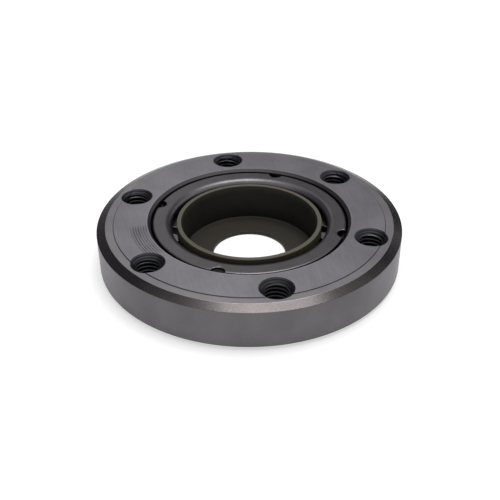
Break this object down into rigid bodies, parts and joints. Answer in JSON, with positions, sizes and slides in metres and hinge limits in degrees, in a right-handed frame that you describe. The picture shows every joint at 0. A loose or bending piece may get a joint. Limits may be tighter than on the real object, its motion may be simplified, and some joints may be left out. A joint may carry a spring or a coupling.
{
  "type": "sprag clutch",
  "caption": "One-way sprag clutch: a bolt-on outer race ring with a flanged cage of tilting sprags, a ribbon spring, and a cup in place of the hub.",
  "frame": {"origin": "centre of the back face, on the clutch's axis", "axes": "+Z along the axis, out of the front face; +X through the first tapped hole"},
  "size_m": [0.09, 0.09, 0.0135],
  "materials": {
    "race_steel": "turned and ground steel",
    "cage_sheet": "drawn and hardened sheet, satin",
    "spring_steel": "tempered strip",
    "sprag_steel": "hardened and tumbled steel",
    "cup_nylon": "moulded nylon, satin"
  },
  "bodies": {
    "outer_race": {"outer_race": "race_steel"},
    "cage": {"cage": "cage_sheet", "ribbon_spring": "spring_steel"},
    "cup": {"cup": "cup_nylon"},
    "sprag_01": {"sprag_01": "sprag_steel"},
    "sprag_02": {"sprag_02": "sprag_steel"},
    "sprag_03": {"sprag_03": "sprag_steel"},
    "sprag_04": {"sprag_04": "sprag_steel"},
    "sprag_05": {"sprag_05": "sprag_steel"},
    "sprag_06": {"sprag_06": "sprag_steel"},
    "sprag_07": {"sprag_07": "sprag_steel"},
    "sprag_08": {"sprag_08": "sprag_steel"},
    "sprag_09": {"sprag_09": "sprag_steel"},
    "sprag_10": {"sprag_10": "sprag_steel"},
    "sprag_11": {"sprag_11": "sprag_steel"},
    "sprag_12": {"sprag_12": "sprag_steel"},
    "sprag_13": {"sprag_13": "sprag_steel"},
    "sprag_14": {"sprag_14": "sprag_steel"},
    "sprag_15": {"sprag_15": "sprag_steel"},
    "sprag_16": {"sprag_16": "sprag_steel"},
    "sprag_17": {"sprag_17": "sprag_steel"},
    "sprag_18": {"sprag_18": "sprag_steel"}
  },
  "joints": [
    {"name": "cage_spin", "type": "hinge", "parent": "outer_race", "child": "cage", "pos_m": [0, 0, 0.0065], "axis": [0, 0, 1], "continuous": true},
    {"name": "cup_lift", "type": "slide", "parent": "cage", "child": "cup", "axis": [0, 0, 1], "range_m": [0, 0.02]},
    {"name": "sprag_01_tilt", "type": "hinge", "parent": "cage", "child": "sprag_01", "pos_m": [0.02428, 0.00441, 0.0052], "axis": [0, 0, 1], "range_deg": [-6, 0], "stiffness_Nm_per_rad": 0.0003, "springref_deg": 5.73},
    {"name": "sprag_02_tilt", "type": "hinge", "parent": "cage", "child": "sprag_02", "pos_m": [0.02131, 0.01245, 0.0052], "axis": [0, 0, 1], "range_deg": [-6, 0], "stiffness_Nm_per_rad": 0.0003, "springref_deg": 5.73},
    {"name": "sprag_03_tilt", "type": "hinge", "parent": "cage", "child": "sprag_03", "pos_m": [0.01576, 0.01899, 0.0052], "axis": [0, 0, 1], "range_deg": [-6, 0], "stiffness_Nm_per_rad": 0.0003, "springref_deg": 5.73},
    {"name": "sprag_04_tilt", "type": "hinge", "parent": "cage", "child": "sprag_04", "pos_m": [0.00832, 0.02324, 0.0052], "axis": [0, 0, 1], "range_deg": [-6, 0], "stiffness_Nm_per_rad": 0.0003, "springref_deg": 5.73},
    {"name": "sprag_05_tilt", "type": "hinge", "parent": "cage", "child": "sprag_05", "pos_m": [-0.00013, 0.02468, 0.0052], "axis": [0, 0, 1], "range_deg": [-6, 0], "stiffness_Nm_per_rad": 0.0003, "springref_deg": 5.73},
    {"name": "sprag_06_tilt", "type": "hinge", "parent": "cage", "child": "sprag_06", "pos_m": [-0.00856, 0.02315, 0.0052], "axis": [0, 0, 1], "range_deg": [-6, 0], "stiffness_Nm_per_rad": 0.0003, "springref_deg": 5.73},
    {"name": "sprag_07_tilt", "type": "hinge", "parent": "cage", "child": "sprag_07", "pos_m": [-0.01596, 0.01882, 0.0052], "axis": [0, 0, 1], "range_deg": [-6, 0], "stiffness_Nm_per_rad": 0.0003, "springref_deg": 5.73},
    {"name": "sprag_08_tilt", "type": "hinge", "parent": "cage", "child": "sprag_08", "pos_m": [-0.02144, 0.01223, 0.0052], "axis": [0, 0, 1], "range_deg": [-6, 0], "stiffness_Nm_per_rad": 0.0003, "springref_deg": 5.73},
    {"name": "sprag_09_tilt", "type": "hinge", "parent": "cage", "child": "sprag_09", "pos_m": [-0.02433, 0.00416, 0.0052], "axis": [0, 0, 1], "range_deg": [-6, 0], "stiffness_Nm_per_rad": 0.0003, "springref_deg": 5.73},
    {"name": "sprag_10_tilt", "type": "hinge", "parent": "cage", "child": "sprag_10", "pos_m": [-0.02428, -0.00441, 0.0052], "axis": [0, 0, 1], "range_deg": [-6, 0], "stiffness_Nm_per_rad": 0.0003, "springref_deg": 5.73},
    {"name": "sprag_11_tilt", "type": "hinge", "parent": "cage", "child": "sprag_11", "pos_m": [-0.02131, -0.01245, 0.0052], "axis": [0, 0, 1], "range_deg": [-6, 0], "stiffness_Nm_per_rad": 0.0003, "springref_deg": 5.73},
    {"name": "sprag_12_tilt", "type": "hinge", "parent": "cage", "child": "sprag_12", "pos_m": [-0.01576, -0.01899, 0.0052], "axis": [0, 0, 1], "range_deg": [-6, 0], "stiffness_Nm_per_rad": 0.0003, "springref_deg": 5.73},
    {"name": "sprag_13_tilt", "type": "hinge", "parent": "cage", "child": "sprag_13", "pos_m": [-0.00832, -0.02324, 0.0052], "axis": [0, 0, 1], "range_deg": [-6, 0], "stiffness_Nm_per_rad": 0.0003, "springref_deg": 5.73},
    {"name": "sprag_14_tilt", "type": "hinge", "parent": "cage", "child": "sprag_14", "pos_m": [0.00013, -0.02468, 0.0052], "axis": [0, 0, 1], "range_deg": [-6, 0], "stiffness_Nm_per_rad": 0.0003, "springref_deg": 5.73},
    {"name": "sprag_15_tilt", "type": "hinge", "parent": "cage", "child": "sprag_15", "pos_m": [0.00856, -0.02315, 0.0052], "axis": [0, 0, 1], "range_deg": [-6, 0], "stiffness_Nm_per_rad": 0.0003, "springref_deg": 5.73},
    {"name": "sprag_16_tilt", "type": "hinge", "parent": "cage", "child": "sprag_16", "pos_m": [0.01596, -0.01882, 0.0052], "axis": [0, 0, 1], "range_deg": [-6, 0], "stiffness_Nm_per_rad": 0.0003, "springref_deg": 5.73},
    {"name": "sprag_17_tilt", "type": "hinge", "parent": "cage", "child": "sprag_17", "pos_m": [0.02144, -0.01223, 0.0052], "axis": [0, 0, 1], "range_deg": [-6, 0], "stiffness_Nm_per_rad": 0.0003, "springref_deg": 5.73},
    {"name": "sprag_18_tilt", "type": "hinge", "parent": "cage", "child": "sprag_18", "pos_m": [0.02433, -0.00416, 0.0052], "axis": [0, 0, 1], "range_deg": [-6, 0], "stiffness_Nm_per_rad": 0.0003, "springref_deg": 5.73}
  ],
  "couplings": [
    {"joint": "sprag_02_tilt", "follows": "sprag_01_tilt", "ratio": 1},
    {"joint": "sprag_03_tilt", "follows": "sprag_01_tilt", "ratio": 1},
    {"joint": "sprag_04_tilt", "follows": "sprag_01_tilt", "ratio": 1},
    {"joint": "sprag_05_tilt", "follows": "sprag_01_tilt", "ratio": 1},
    {"joint": "sprag_06_tilt", "follows": "sprag_01_tilt", "ratio": 1},
    {"joint": "sprag_07_tilt", "follows": "sprag_01_tilt", "ratio": 1},
    {"joint": "sprag_08_tilt", "follows": "sprag_01_tilt", "ratio": 1},
    {"joint": "sprag_09_tilt", "follows": "sprag_01_tilt", "ratio": 1},
    {"joint": "sprag_10_tilt", "follows": "sprag_01_tilt", "ratio": 1},
    {"joint": "sprag_11_tilt", "follows": "sprag_01_tilt", "ratio": 1},
    {"joint": "sprag_12_tilt", "follows": "sprag_01_tilt", "ratio": 1},
    {"joint": "sprag_13_tilt", "follows": "sprag_01_tilt", "ratio": 1},
    {"joint": "sprag_14_tilt", "follows": "sprag_01_tilt", "ratio": 1},
    {"joint": "sprag_15_tilt", "follows": "sprag_01_tilt", "ratio": 1},
    {"joint": "sprag_16_tilt", "follows": "sprag_01_tilt", "ratio": 1},
    {"joint": "sprag_17_tilt", "follows": "sprag_01_tilt", "ratio": 1},
    {"joint": "sprag_18_tilt", "follows": "sprag_01_tilt", "ratio": 1}
  ]
}
